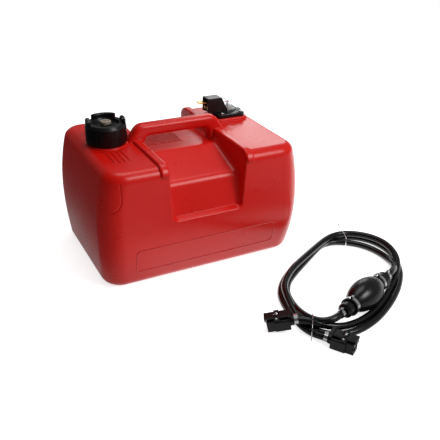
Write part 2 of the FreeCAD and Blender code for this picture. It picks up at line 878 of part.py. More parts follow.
def pickup_strainer():
    low = wall + tube_foot_gap - 3
    cup = rod(tube_x, tube_y, low, strainer_radius, strainer_height)
    room = rod(tube_x, tube_y, low + strainer_wall, strainer_radius - strainer_wall,
               strainer_height - 2 * strainer_wall)
    cup = cup.cut(room)
    cup = cup.cut(rod(tube_x, tube_y, low + 3, tube_radius, strainer_height))
    slits = []
    for index in range(4):
        slit = box(-strainer_radius - 1, strainer_radius + 1, -1.2, 1.2, low + 5, low + strainer_height - 5)
        slit.Placement = Placement(Vector(tube_x, tube_y, 0), Rotation(Vector(0, 0, 1), index * 45 + 22.5))
        slits.append(slit)
    return cup.cut([slit.cut(rod(tube_x, tube_y, 0, tube_radius + 0.5, 60)) for slit in slits])


# ---- hose set
def bulb_place():
    """Frame with X along the bulb, towards the short hose."""
    return Placement(Vector(bulb_x, bulb_y, bulb_radius), Rotation(Vector(0, 0, 1), bulb_yaw))


def lathe_x(profile):
    """Solid of revolution about X from (along, radius) points."""
    points = [Vector(along, 0, radius) for along, radius in profile]
    wire = Part.makePolygon(points + [points[0]])
    return Part.Face(wire).revolve(Vector(0, 0, 0), Vector(1, 0, 0), 360)


def bulb_outline(inset):
    """Half outline of the bulb: an arc between two necks."""
    half = bulb_half - inset * 0.4
    belly = bulb_radius - inset
    neck = bulb_neck_radius - inset
    arc = Part.Arc(Vector(-half, 0, neck), Vector(0, 0, belly), Vector(half, 0, neck))
    reach = bulb_half + bulb_neck
    edges = [
        arc.toShape(),
        Part.makeLine(Vector(half, 0, neck), Vector(reach, 0, neck)),
        Part.makeLine(Vector(reach, 0, neck), Vector(reach, 0, 0)),
        Part.makeLine(Vector(reach, 0, 0), Vector(-reach, 0, 0)),
        Part.makeLine(Vector(-reach, 0, 0), Vector(-reach, 0, neck)),
        Part.makeLine(Vector(-reach, 0, neck), Vector(-half, 0, neck)),
    ]
    return Part.Face(Part.Wire(edges)).revolve(Vector(0, 0, 0), Vector(1, 0, 0), 360)


def primer_bulb():
    bulb = bulb_outline(0).cut(bulb_outline(bulb_wall))
    bulb.Placement = bulb_place()
    return bulb


def bulb_valve(side):
    """Valve body in one neck of the bulb, with a barb for the hose."""
    start = bulb_half - 4
    neck_end = bulb_half + bulb_neck
    inner = bulb_neck_radius - bulb_wall
    profile = [
        (start, barb_bore),
        (start, inner),
        (neck_end, inner),
        (neck_end, valve_lip_radius),
        (neck_end + valve_lip, valve_lip_radius),
        (neck_end + valve_lip, valve_radius),
        (neck_end + valve_length - 4, valve_radius),
        (neck_end + valve_length, valve_radius - 4),
        (neck_end + valve_length, barb_radius),
        (neck_end + valve_length + barb_length, barb_radius),
        (neck_end + valve_length + barb_length, barb_bore),
    ]
    body = lathe_x(profile)
    seat = cross_rod(Vector(neck_end, 0, 0), Vector(1, 0, 0), disc_radius + 0.5, disc_thick + 2)
    body = body.cut(seat)
    if side < 0:
        body.rotate(Vector(0, 0, 0), Vector(0, 0, 1), 180)
    body.Placement = bulb_place().multiply(body.Placement)
    return body


def valve_disc(side):
    """Loose check disc that lies in its seat in the valve body."""
    neck_end = bulb_half + bulb_neck
    disc = cross_rod(Vector(neck_end, 0, 0), Vector(1, 0, 0), disc_radius, disc_thick)
    if side < 0:
        disc.rotate(Vector(0, 0, 0), Vector(0, 0, 1), 180)
    disc.Placement = bulb_place().multiply(disc.Placement)
    return disc


def clamp(at, direction, radius):
    """Crimped band round a hose or neck, with one pinched ear."""
    half = direction * (clamp_width / 2)
    outer = cross_rod(at - half, direction, radius + clamp_thick, clamp_width)
    inner = cross_rod(at - half, direction, radius, clamp_width)
    ear = Part.makeBox(clamp_width, clamp_ear, clamp_ear)
    ear.translate(Vector(-clamp_width / 2, -clamp_ear / 2, radius + clamp_thick / 2))
    ear.Placement = Placement(at, Rotation(Vector(1, 0, 0), direction)).multiply(ear.Placement)
    return outer.fuse(ear).cut(inner)


def bulb_clamps():
    """Bands on the bulb's necks and on the hose ends beside them."""
    frame = bulb_place()
    axis = frame.Rotation.multVec(Vector(1, 0, 0))
    bands = []
    for side in (-1, 1):
        neck = frame.multVec(Vector(side * (bulb_half + bulb_neck / 2 + 1), 0, 0))
        bands.append(clamp(neck, axis * side, bulb_neck_radius))
        hose = frame.multVec(Vector(side * (bulb_half + bulb_neck + valve_length + 7), 0, 0))
        bands.append(clamp(hose, axis * side, hose_radius))
    return Part.makeCompound(bands)


def tube_path(points):
    """Straight runs joined by tangent arcs, as large as each pair of runs allows."""
    edges = []
    last = points[0]
    for index in range(1, len(points) - 1):
        before = points[index - 1] - points[index]
        after = points[index + 1] - points[index]
        turn = math.pi - before.getAngle(after)
        shorter = min(before.Length, after.Length)
        cut_back = 0.45 * shorter
        radius = cut_back / math.tan(turn / 2)
        print("   turn %5.1f deg, radius %6.1f mm" % (math.degrees(turn), radius))
        before.normalize()
        after.normalize()
        start = points[index] + before * cut_back
        end = points[index] + after * cut_back
        bisector = (before + after).normalize()
        centre = points[index] + bisector * (radius / math.cos(turn / 2))
        middle = centre - bisector * radius
        edges.append(Part.makeLine(last, start))
        edges.append(Part.Arc(start, middle, end).toShape())
        last = end
    edges.append(Part.makeLine(last, points[-1]))
    return Part.Wire(edges)


def hose(points):
    """Hose tube along a route, hollow only in its drawing: one plain solid."""
    path = tube_path(points)
    direction = (points[1] - points[0]).normalize()
    circle = Part.Wire(Part.makeCircle(hose_radius, points[0], direction))
    solid = path.makePipeShell([circle], True, False)
    whole = math.pi * hose_radius ** 2 * path.Length
    print("   length %.1f, volume over section times length %.4f" % (path.Length, solid.Volume / whole))
    return solid


coil_outer = [
    Vector(53, -345, 0), Vector(55.5, -313, 0), Vector(61, -284, 0), Vector(72, -257, 0),
    Vector(91, -232.5, 0), Vector(118.5, -209, 0), Vector(150, -190, 0), Vector(183, -173.5, 0),
    Vector(209, -160.5, 0), Vector(236, -147.5, 0), Vector(262, -141.5, 0), Vector(290, -139, 0),
    Vector(323, -152, 0), Vector(345, -181, 0), Vector(351.5, -214, 0), Vector(347, -247, 0),
    Vector(333.5, -275, 0), Vector(316, -303, 0), Vector(292.5, -328, 0), Vector(266, -350.5, 0),
    Vector(238, -369.5, 0), Vector(207, -387, 0), Vector(172, -402.5, 0), Vector(136, -410, 0),
    Vector(107, -405.5, 0), Vector(89, -396, 0), Vector(79, -389.5, 0), Vector(62, -385, 0),
    Vector(54, -370, 0),
]
coil_inner = [
    Vector(75.5, -337, 0), Vector(79, -314, 0), Vector(85.5, -290, 0), Vector(94.5, -269, 0),
    Vector(112, -248, 0), Vector(137, -229, 0), Vector(169, -210, 0), Vector(201, -191.5, 0),
    Vector(231, -175, 0), Vector(259, -164, 0), Vector(284, -172, 0), Vector(303, -189.5, 0),
    Vector(313, -211, 0), Vector(317, -233.5, 0), Vector(315, -255.5, 0), Vector(306, -278, 0),
    Vector(279, -310, 0), Vector(248, -333, 0), Vector(219, -352.5, 0), Vector(187.5, -368.5, 0),
    Vector(154.5, -379, 0), Vector(124, -382.5, 0), Vector(99, -378.5, 0), Vector(83, -369, 0),
    Vector(76, -355, 0),
]
inlet_tail = [(124, -374.8, 26), (109, -380.9, 26), (94.5, -384, 25), (81.5, -384.5, 23)]
outlet_tail = [(252, -323.2, 26), (267, -317, 25.5), (282, -308, 22.5), (299, -295, 17), (311, -281, 12)]
tank_tail = [(44.6, -351.6, 20.1), (55, -357.4, 23), (67, -364, 24), (80, -371, 21.5)]
engine_tail = [(76.7, -403.5, 10), (69, -391.6, 9.3), (63, -379, 8.2), (59.5, -365, 7.2)]


coil_height = coil_layers * 2 * hose_radius


def closed_curve(points):
    curve = Part.BSplineCurve()
    curve.interpolate(points, PeriodicFlag=True)
    return Part.Wire(curve.toShape())


def hose_coil():
    """Outer shape of the coiled turns: a closed band on the floor, two layers high.

    The upper layer stops short of the bulb's ends and of the tank connector's barb, and the bulb
    has its own hollow in the turns.
    """
    band = Part.Face(closed_curve(coil_outer)).cut(Part.Face(closed_curve(coil_inner)))
    coil = band.extrude(Vector(0, 0, coil_height))
    reach = bulb_half + bulb_neck + valve_length + barb_length
    room = box(-reach, reach, -bulb_room, bulb_room, 2 * hose_radius - bulb_radius, coil_height)
    hollow = bulb_outline(-bulb_gap)
    room.Placement = bulb_place()
    hollow.Placement = bulb_place()
    end = Vector(*tank_tail[0])
    away = Vector(*tank_tail[1]) - end
    end_room = cross_rod(end, away, hose_radius + 2 * clamp_thick, barb_length + 1)
    return coil.cut([room, hollow, end_room])


def tail(points):
    return hose([Vector(x, y, z) for x, y, z in points])


def wire_tie(at, across):
    """Thin wire bent over the coil's turns, with its two ends twisted up."""
    top = coil_height + tie_radius
    side = across * tie_reach
    lift = Vector(0, 0, 1)
    path = [
        at - side + lift * tie_radius,
        at - side * 0.97 + lift * (top * 0.6),
        at - side * 0.75 + lift * top,
        at + side * 0.75 + lift * top,
        at + side * 0.97 + lift * (top * 0.6),
        at + side + lift * tie_radius,
    ]
    run = tube_path(path)
    circle = Part.Wire(Part.makeCircle(tie_radius, path[0], path[1] - path[0]))
    loop = run.makePipeShell([circle], True, False)
    out = across + Vector(0, 0, 0.35)
    root = at + side * 0.9 + lift * (top * 0.8)
    first = cross_rod(root, out, tie_radius, tie_tail)
    second = cross_rod(root, out + Vector(0, 0, 0.25), tie_radius, tie_tail)
    return loop.fuse([first, second])


def tie_wires():
    return Part.makeCompound([wire_tie(Vector(69, -368, 0), Vector(-0.58, -0.815, 0)),
                              wire_tie(Vector(286, -157, 0), Vector(0.35, 0.937, 0))])


# ---- hose connectors
connector_front = connector_length / 2
connector_back = -connector_length / 2
barb_z = connector_height / 2
lever_z = connector_height + lever_gap


def connector_place(at, yaw, tilt):
    """Frame of a connector that stands on its lower front edge, its back raised by tilt."""
    edge = Vector(connector_front, 0, 0)
    raised = Placement(edge, Rotation(Vector(0, 1, 0), tilt)).multiply(Placement(-edge, Rotation()))
    return Placement(at, Rotation(Vector(0, 0, 1), yaw)).multiply(raised)


def connector_body():
    half = connector_width / 2
    nose_x = connector_front - nose_length
    block = box(connector_back, nose_x, -half, half, 0, connector_height)
    block = block.makeFillet(connector_corner, [e for e in block.Edges if e.BoundBox.XLength > 5])
    nose = box(nose_x - 1, connector_front, -nose_width / 2, nose_width / 2, 0, connector_height)
    nose = nose.makeFillet(connector_corner / 2, [e for e in nose.Edges if e.BoundBox.XLength > 5])
    boss = cross_rod(Vector(connector_back + 1, 0, barb_z), Vector(-1, 0, 0), connector_boss_radius,
                     connector_boss + 1)
    barb = cross_rod(Vector(connector_back, 0, barb_z), Vector(-1, 0, 0), barb_radius,
                     connector_boss + barb_length)
    ears = []
    for side in (-1, 1):
        y_in = side * (lever_width / 2 + 0.3)
        y_out = side * (lever_width / 2 + 0.3 + lever_ear)
        ears.append(box(lever_pivot_x - 4, lever_pivot_x + 4, min(y_in, y_out), max(y_in, y_out),
                        connector_height - 1, lever_z + lever_thick + ear_rise))
    body = fuse_all([block, nose, boss, barb] + ears)
    cuts = []
    for side in (-1, 1):
        mouth = Vector(connector_front + 1, side * pin_spacing / 2, barb_z)
        cuts.append(cross_rod(mouth, Vector(-1, 0, 0), pin_radius + socket_clearance, socket_depth + 1))
    cuts.append(cross_rod(Vector(connector_front + 1, -pin_spacing / 2, barb_z), Vector(-1, 0, 0),
                          pin_radius + socket_clearance + seal_section, 3.5))
    cuts.append(cross_rod(Vector(connector_back - connector_boss - barb_length - 1, 0, barb_z),
                          Vector(1, 0, 0), barb_bore, connector_boss + barb_length + 9))
    cuts.append(cross_rod(Vector(connector_back + 6, -pin_spacing / 2, barb_z), Vector(0, 1, 0),
                          barb_bore, pin_spacing / 2))
    cuts.append(cross_rod(Vector(connector_back + 6, -pin_spacing / 2, barb_z), Vector(1, 0, 0),
                          barb_bore, connector_length - socket_depth - 5))
    cuts.append(lever_pin_form())
    return body.cut(cuts)


def lever_pin_form():
    reach = lever_width / 2 + 0.3 + lever_ear
    return cross_rod(Vector(lever_pivot_x, -reach, lever_z + lever_thick / 2), Vector(0, 1, 0),
                     lever_pin_radius, 2 * reach)


def connector_lever():
    half = lever_width / 2
    back = lever_pivot_x - lever_length * 0.62
    front = connector_front + lever_overhang
    plate = box(back, front, -half, half, lever_z, lever_z + lever_thick)
    tail = box(back - 2, back + 3, -half - 2, half + 2, lever_z, lever_z + lever_thick + 2)
    hook = box(front - hook_thick, front, -hook_half, hook_half, lever_z - lever_hook, lever_z + 1)
    knuckle = cross_rod(Vector(lever_pivot_x, -half, lever_z + lever_thick / 2), Vector(0, 1, 0),
                        3.2, lever_width)
    lever = fuse_all([plate, tail, hook, knuckle])
    pin = cross_rod(Vector(lever_pivot_x, -half - 1, lever_z + lever_thick / 2), Vector(0, 1, 0),
                    lever_pin_radius + running, lever_width + 2)
    room = box(lever_pivot_x - 4.5, lever_pivot_x + 4.5, -4, 4, lever_z - 4, lever_z + lever_thick + 4)
    return lever.cut([pin, room])


def lever_spring():
    """Coil wound round the lever's pin."""
    turns = spring_turns
    pitch = 7.2 / turns
    radius = lever_pin_radius + 0.25 + spring_wire
    helix = Part.makeHelix(pitch, pitch * turns - spring_wire * 2, radius)
    section = Part.Wire(Part.makeCircle(spring_wire, Vector(radius, 0, 0), Vector(0, 1, 0)))
    coil = Part.Wire(helix).makePipeShell([section], True, True)
    start = Vector(lever_pivot_x, -3.6 + spring_wire, lever_z + lever_thick / 2)
    coil.Placement = Placement(start, Rotation(Vector(0, 0, 1), Vector(0, 1, 0)))
    return coil


def connector_seal():
    place = Vector(connector_front - 2.5, -pin_spacing / 2, barb_z)
    outer = cross_rod(place, Vector(1, 0, 0), pin_radius + socket_clearance + seal_section, 2)
    inner = cross_rod(place, Vector(1, 0, 0), pin_radius + 0.1, 2)
    return outer.cut(inner)


def connector_clamp():
    centre = Vector(connector_back - connector_boss - clamp_gap, 0, barb_z)
    return clamp(centre, Vector(-1, 0, 0), hose_radius)


save("tank_shell", tank_shell())
save("filler_cap", filler_cap())
save("cap_gasket", cap_gasket())
save("cap_baffle", cap_baffle())
save("vent_screw", vent_screw())
save("vent_seal", vent_seal())
save("meter_housing", meter_housing())
save("meter_gasket", meter_gasket())
save("meter_screws", meter_screws())
save("gauge_lens", gauge_lens())
save("gauge_dial", gauge_dial())
save("gauge_pointer", gauge_pointer())
save("pivot_pin", pivot_pin())
save("float_arm", float_arm())
save("fuel_float", fuel_float())
save("fuel_joint", fuel_joint())
save("catch_plate", catch_plate())
save("pickup_tube", pickup_tube())
save("pickup_strainer", pickup_strainer())
save("primer_bulb", primer_bulb())
save("bulb_outlet", bulb_valve(1))
save("bulb_inlet", bulb_valve(-1))
save("outlet_disc", valve_disc(1))
save("inlet_disc", valve_disc(-1))
save("bulb_clamps", bulb_clamps())
save("hose_coil", hose_coil())
save("hose_tail_inlet", tail(inlet_tail))
save("hose_tail_outlet", tail(outlet_tail))
save("hose_tail_tank", tail(tank_tail))
save("hose_tail_engine", tail(engine_tail))
save("tie_wires", tie_wires())
connector_frames = {
    "tank_connector": connector_place(tank_connector_at, tank_connector_yaw, tank_connector_tilt),
    "engine_connector": connector_place(engine_connector_at, engine_connector_yaw, engine_connector_tilt),
}
for name, frame in connector_frames.items():
    pieces = {
        "body": connector_body(),
        "lever": connector_lever(),
        "pin": lever_pin_form(),
        "spring": lever_spring(),
        "seal": connector_seal(),
        "clamp": connector_clamp(),
    }
    for piece, shape in pieces.items():
        shape.Placement = frame.multiply(shape.Placement)
        save("%s_%s" % (name, piece), shape)
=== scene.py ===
# %% [markdown]
# # A portable outboard fuel tank
#
# The real thing is a red blow-moulded polyethylene tank with a screw cap, a fuel
# meter in a black hood and, lying beside it, a coiled black hose with a squeeze
# bulb and two push-on connectors.  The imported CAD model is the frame: every piece
# below is in metres and sits where the CAD puts it.

# %% Load the frame
import bpy
import numpy as np
from mathutils import Matrix, Vector


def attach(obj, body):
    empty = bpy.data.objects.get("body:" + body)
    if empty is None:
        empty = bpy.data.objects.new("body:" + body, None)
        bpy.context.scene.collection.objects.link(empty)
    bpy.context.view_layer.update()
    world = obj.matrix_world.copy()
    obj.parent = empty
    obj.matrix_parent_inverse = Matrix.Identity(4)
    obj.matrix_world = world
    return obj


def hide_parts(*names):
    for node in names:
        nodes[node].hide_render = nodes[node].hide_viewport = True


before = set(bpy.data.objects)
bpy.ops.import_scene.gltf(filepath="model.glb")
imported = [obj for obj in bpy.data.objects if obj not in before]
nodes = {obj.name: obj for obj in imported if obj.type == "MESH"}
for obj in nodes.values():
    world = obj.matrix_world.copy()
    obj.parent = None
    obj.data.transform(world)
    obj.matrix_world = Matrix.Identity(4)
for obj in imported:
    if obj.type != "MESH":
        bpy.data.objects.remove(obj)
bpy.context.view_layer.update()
mm = 0.001

# %% [markdown]
# ## The camera
#
# A camera can be placed by its three own directions.  They are written here as
# rows (right, up, back), so the matrix needs no look-at target and keeps the
# small roll that a hand-held camera has.

# %% Camera
camera_place = Vector((-0.4490, -1.0283, 0.6345))
camera_right = Vector((0.88925, -0.45693, 0.02102))
camera_ahead = Vector((0.41271, 0.78169, -0.46758))
camera_lens = 52.71

camera_up = camera_right.cross(camera_ahead)
turn = Matrix((camera_right, camera_up, -camera_ahead)).transposed()
camera_data = bpy.data.cameras.new("camera")
camera_data.lens = camera_lens
camera_data.clip_start = 0.05
camera_data.clip_end = 60.0
camera = bpy.data.objects.new("camera", camera_data)
camera.matrix_world = Matrix.Translation(camera_place) @ turn.to_4x4()
bpy.context.scene.collection.objects.link(camera)
bpy.context.scene.camera = camera
bpy.context.scene.view_settings.view_transform = "Standard"
print("camera at", tuple(round(v, 3) for v in camera_place))

# %% [markdown]
# ## The hoses
#
# Fuel hose is a black rubber tube, 12 mm thick, too stiff to lie quite flat.  The
# long hose leaves the bulb, goes twice round the coil and ends in the connector
# for the tank.  The short one goes once round to the connector for the motor.
# A NURBS curve bends like hose does: it passes near its points and turns
# gradually between them, so each hose is one curve through listed points.

# %% Hose routes in millimetres
hose_diameter = 12 * mm

long_route = [
    (124.0, -374.8, 26), (109, -380.8, 26), (94, -382.5, 25), (80.5, -375.5, 22),
    (72, -359, 19), (69.5, -337, 16), (73, -313, 11), (80, -288, 7),
    (88, -264, 6), (105, -240, 6), (131, -220, 6), (163, -200, 6.5),
    (195, -182, 10), (225, -166, 13), (256, -151, 10), (288, -145, 6),
    (319, -157, 6), (339, -184, 6), (345, -214, 6), (341, -244, 6),
    (328, -271, 6), (311, -299, 6), (288, -323, 6), (262, -345, 6),
    (234, -364, 6), (204, -381, 6), (170, -396, 6), (134, -404, 6),
    (103, -402, 6), (80, -388, 6), (69, -366, 6), (64, -340, 8),
    (67, -312, 13), (74, -285, 16.5), (84, -260, 17), (103, -238.5, 17),
    (130, -216.5, 17), (164.5, -197, 17), (199, -179.5, 18), (231, -162.5, 18),
    (262, -150, 18), (290, -150, 17.5), (313, -163, 18), (329, -186, 20),
    (338, -213, 20.5), (336, -243, 20), (326, -270, 17.5), (307, -295, 13),
    (282, -316, 9), (251, -338, 6.5), (222, -358, 6), (190, -374, 6),
    (156, -385, 6), (124, -388.5, 8), (101, -386, 12), (81, -378, 17),
    (67, -367.5, 20.5), (55.5, -358, 21), (44.6, -351.6, 20.1),
]
short_route = [
    (252.0, -323.2, 26), (266.5, -317.2, 25.5), (282, -308, 22.5), (299, -295, 17),
    (313, -278, 11), (321, -257, 7), (323, -233, 6), (319, -209, 6),
    (308, -186, 6), (290, -168, 6), (266, -154, 6), (239, -154, 6),
    (212, -167, 6), (186, -180, 6), (158, -194, 6), (122, -215, 6),
    (95, -238, 6), (77, -261, 6), (67, -286, 6), (61.5, -315, 6),
    (58.5, -345, 6), (60.5, -370, 6.5), (67.5, -388, 8), (76.7, -403.5, 10),
]
print("hose points:", len(long_route), "and", len(short_route))

# %% Hose curves


def hose_curve(name, route):
    """One open NURBS curve near the route's points, as thick as the hose.

    The thickness is the bevel depth times each point's radius.  A depth of one
    and a radius in metres keep the curve's bounding box close round the hose.
    """
    curve = bpy.data.curves.new(name, "CURVE")
    curve.dimensions = "3D"
    spline = curve.splines.new("NURBS")
    spline.points.add(len(route) - 1)
    places = np.ones((len(route), 4))
    places[:, :3] = np.array(route) * mm
    spline.points.foreach_set("co", places.ravel())
    spline.points.foreach_set("radius", np.full(len(route), hose_diameter / 2))
    spline.order_u = 3
    spline.use_endpoint_u = True
    curve.resolution_u = 8
    curve.bevel_depth = 1.0
    curve.bevel_resolution = 6
    curve.use_fill_caps = True
    hose = bpy.data.objects.new(name, curve)
    bpy.context.scene.collection.objects.link(hose)
    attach(hose, "tank")
    return hose


def curve_length(obj):
    """Length in metres of a curve's own line, summed between its points."""
    data = obj.data.copy()
    data.bevel_depth = 0
    plain = bpy.data.objects.new("plain", data)
    mesh = bpy.data.meshes.new_from_object(plain)
    line = np.empty(len(mesh.vertices) * 3)
    mesh.vertices.foreach_get("co", line)
    line = line.reshape(-1, 3)
    bpy.data.objects.remove(plain)
    return float(np.linalg.norm(np.diff(line, axis=0), axis=1).sum())


long_hose = hose_curve("long_hose", long_route)
short_hose = hose_curve("short_hose", short_route)
long_length = curve_length(long_hose)
short_length = curve_length(short_hose)
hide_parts("hose_coil", "hose_tail_inlet", "hose_tail_tank")
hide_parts("hose_tail_outlet", "hose_tail_engine")
print("hose lengths in metres:", round(long_length, 3), round(short_length, 3))

# %% [markdown]
# ## Colours and nodes
#
# Screens store colour as sRGB, but a shader wants linear light.  One function
# turns a hex value into the other.  A second small function adds a node, with
# its settings and links, so that each material below reads as a short list.

# %% Colour and node helpers


def tone(hex_value):
    """sRGB hex to linear: v / 12.92 below 0.04045, else ((v + 0.055) / 1.055) ** 2.4."""
    parts = [int(hex_value[i:i + 2], 16) / 255 for i in (1, 3, 5)]
    linear = [v / 12.92 if v <= 0.04045 else ((v + 0.055) / 1.055) ** 2.4 for v in parts]
    return (*linear, 1.0)


def add_node(tree, kind, settings=None, **inputs):
    """Adds one node; an input given as a socket is linked, any other is set."""
    made = tree.nodes.new(kind)
    for key, value in (settings or {}).items():
        setattr(made, key, value)
    for key, value in inputs.items():
        at = int(key[1:]) if key[1:].isdigit() else key.replace("_", " ")
        if isinstance(value, bpy.types.NodeSocket):
            tree.links.new(value, made.inputs[at])
        else:
            made.inputs[at].default_value = value
    return made


def new_material(name):
    """An empty node material with its output, its surface shader and object coordinates."""
    made = bpy.data.materials.new(name)
    made.use_nodes = True
    tree = made.node_tree
    tree.nodes.clear()
    shader = tree.nodes.new("ShaderNodeBsdfPrincipled")
    output = tree.nodes.new("ShaderNodeOutputMaterial")
    tree.links.new(shader.outputs[0], output.inputs[0])
    where = tree.nodes.new("ShaderNodeTexCoord").outputs["Object"]
    return made, tree, shader, where


def connect(tree, source, shader, name):
    """Links a socket to one named input of a surface shader."""
    tree.links.new(source, shader.inputs[name])


def two_tones(tree, factor, dark, light):
    """A colour that wanders between two hex values as the factor does."""
    return add_node(tree, "ShaderNodeMix", {"data_type": "RGBA"}, _0=factor,
                    _6=tone(dark), _7=tone(light))


def moulded(tree, shader, shade, gloss, bump, index, sheen):
    """Joins colour, gloss and bump to a surface, with its refractive index."""
    connect(tree, shade.outputs[2], shader, "Base Color")
    connect(tree, gloss.outputs[0], shader, "Roughness")
    connect(tree, bump.outputs[0], shader, "Normal")
    shader.inputs["IOR"].default_value = index
    shader.inputs["Specular IOR Level"].default_value = sheen


red_dark, red_light = "#D01008", "#D8160C"
print("red as linear:", [round(v, 3) for v in tone(red_dark)[:3]])

# %% [markdown]
# ## Red polyethylene
#
# The shell is blown in a mould from red polyethylene.  Its skin is a little
# waxy: broad soft highlights, a faint ripple from the mould and a fine grain.
# A flat colour with one roughness would look like paint.  Instead a slow noise
# moves tone and gloss together, and two finer ones make a weak bump.  A bevel
# node rounds the shading of the mould's small edges, which CAD leaves crisp.

# %% Red blow-moulded polyethylene
soft_edge_radius = 2.4 * mm
ripple_height = 2.0
red, tree, shader, where = new_material("red_polyethylene")
mottle = add_node(tree, "ShaderNodeTexNoise", None, Vector=where, Scale=22.0, Detail=3.0)
shade = two_tones(tree, mottle.outputs["Fac"], red_dark, red_light)
grain = add_node(tree, "ShaderNodeTexNoise", None, Vector=where, Scale=420.0, Detail=1.0)
ripple = add_node(tree, "ShaderNodeTexNoise", None, Vector=where, Scale=45.0, Detail=1.0)
lift = add_node(tree, "ShaderNodeMath", {"operation": "MULTIPLY_ADD"},
                _0=ripple.outputs["Fac"], _1=ripple_height, _2=grain.outputs["Fac"])
soft_edge = add_node(tree, "ShaderNodeBevel", {"samples": 8}, Radius=soft_edge_radius)
bump = add_node(tree, "ShaderNodeBump", None, Height=lift.outputs[0], Strength=0.1,
                Distance=0.0003, Normal=soft_edge.outputs[0])
gloss = add_node(tree, "ShaderNodeMapRange", None, Value=mottle.outputs["Fac"],
                 To_Min=0.24, To_Max=0.34)
moulded(tree, shader, shade, gloss, bump, index=1.54, sheen=0.28)
print("material:", red.name)

# %% [markdown]
# ## Black nylon and black rubber
#
# Cap, hood and connectors are black glass-filled nylon, hose and bulb are
# nitrile rubber.  Both are nearly black, so that their form is told by the
# highlights alone.  The nylon gets a finer, stronger grain than the rubber.

# %% Black moulded nylon
nylon, tree, shader, where = new_material("black_nylon")
grain = add_node(tree, "ShaderNodeTexNoise", None, Vector=where, Scale=1400.0, Detail=2.0)
bump = add_node(tree, "ShaderNodeBump", None, Height=grain.outputs["Fac"], Strength=0.25,
                Distance=0.0002)
wear = add_node(tree, "ShaderNodeTexNoise", None, Vector=where, Scale=60.0, Detail=4.0)
gloss = add_node(tree, "ShaderNodeMapRange", None, Value=wear.outputs["Fac"],
                 To_Min=0.26, To_Max=0.36)
shade = two_tones(tree, wear.outputs["Fac"], "#060607", "#0D0D0F")
moulded(tree, shader, shade, gloss, bump, index=1.53, sheen=0.28)
print("material:", nylon.name)

# %% Black nitrile rubber
rubber, tree, shader, where = new_material("black_nitrile")
dust = add_node(tree, "ShaderNodeTexNoise", None, Vector=where, Scale=70.0, Detail=5.0)
shade = two_tones(tree, dust.outputs["Fac"], "#050506", "#0C0C0D")
gloss = add_node(tree, "ShaderNodeMapRange", None, Value=dust.outputs["Fac"],
                 To_Min=0.22, To_Max=0.32)
skin = add_node(tree, "ShaderNodeTexNoise", None, Vector=where, Scale=800.0, Detail=2.0)
bump = add_node(tree, "ShaderNodeBump", None, Height=skin.outputs["Fac"], Strength=0.15,
                Distance=0.0002)
moulded(tree, shader, shade, gloss, bump, index=1.52, sheen=0.3)
print("material:", rubber.name)

# %% [markdown]
# ## Metals and small plastics
#
# The small parts are plated steel, brass, drawn aluminium and moulded acetal.
# They cover few pixels each, so two functions are enough: one for metals, which
# differ in colour and polish, and one for plastics, which differ in colour.

# %% Metals and small plastics


def metal(name, dark, light, rough, scale):
    """A metal whose colour and gloss wander between two values over patches of a size."""
    made, tree, shader, where = new_material(name)
    patch = add_node(tree, "ShaderNodeTexNoise", None, Vector=where, Scale=scale, Detail=4.0)
    shade = two_tones(tree, patch.outputs["Fac"], dark, light)
    gloss = add_node(tree, "ShaderNodeMapRange", None, Value=patch.outputs["Fac"],
                     To_Min=rough - 0.06, To_Max=rough + 0.08)
    connect(tree, shade.outputs[2], shader, "Base Color")
    connect(tree, gloss.outputs[0], shader, "Roughness")
    shader.inputs["Metallic"].default_value = 1.0
    return made


def plastic(name, dark, light, rough):
    """A moulded plastic with faint patches of tone and a fine grain."""
    made, tree, shader, where = new_material(name)
    patch = add_node(tree, "ShaderNodeTexNoise", None, Vector=where, Scale=120.0, Detail=3.0)
    shade = two_tones(tree, patch.outputs["Fac"], dark, light)
    bump = add_node(tree, "ShaderNodeBump", None, Height=patch.outputs["Fac"], Strength=0.1,
                    Distance=0.0003)
    connect(tree, shade.outputs[2], shader, "Base Color")
    connect(tree, bump.outputs[0], shader, "Normal")
    shader.inputs["Roughness"].default_value = rough
    return made


zinc = metal("zinc_plated_steel", "#B4B6B8", "#DADBDC", 0.24, 300.0)
brass = metal("turned_brass", "#B08A3C", "#D9BC72", 0.28, 250.0)
aluminium = metal("drawn_aluminium", "#C4C6C9", "#DCDDE0", 0.3, 200.0)
grey_acetal = plastic("grey_acetal", "#85796B", "#9A8E80", 0.4)
white_acetal = plastic("white_acetal", "#DADAD4", "#EDEDE8", 0.42)
orange_acetal = plastic("orange_acetal", "#D8601A", "#E8702A", 0.35)
cell_foam = plastic("closed_cell_foam", "#1A1A1C", "#2A2A2D", 0.8)

clear, tree, shader, where = new_material("clear_polycarbonate")
haze = add_node(tree, "ShaderNodeTexNoise", None, Vector=where, Scale=90.0, Detail=3.0)
gloss = add_node(tree, "ShaderNodeMapRange", None, Value=haze.outputs["Fac"],
                 To_Min=0.03, To_Max=0.1)
connect(tree, gloss.outputs[0], shader, "Roughness")
shader.inputs["Base Color"].default_value = tone("#F2F5F6")
shader.inputs["Transmission Weight"].default_value = 1.0
shader.inputs["IOR"].default_value = 1.585
print("materials made so far:", len(bpy.data.materials))

# %% [markdown]
# ## Which piece is made of what
#
# One table says it, from material to pieces.  The CAD names the pieces, so a
# name that is spelt wrong here stops the script instead of leaving a piece grey.

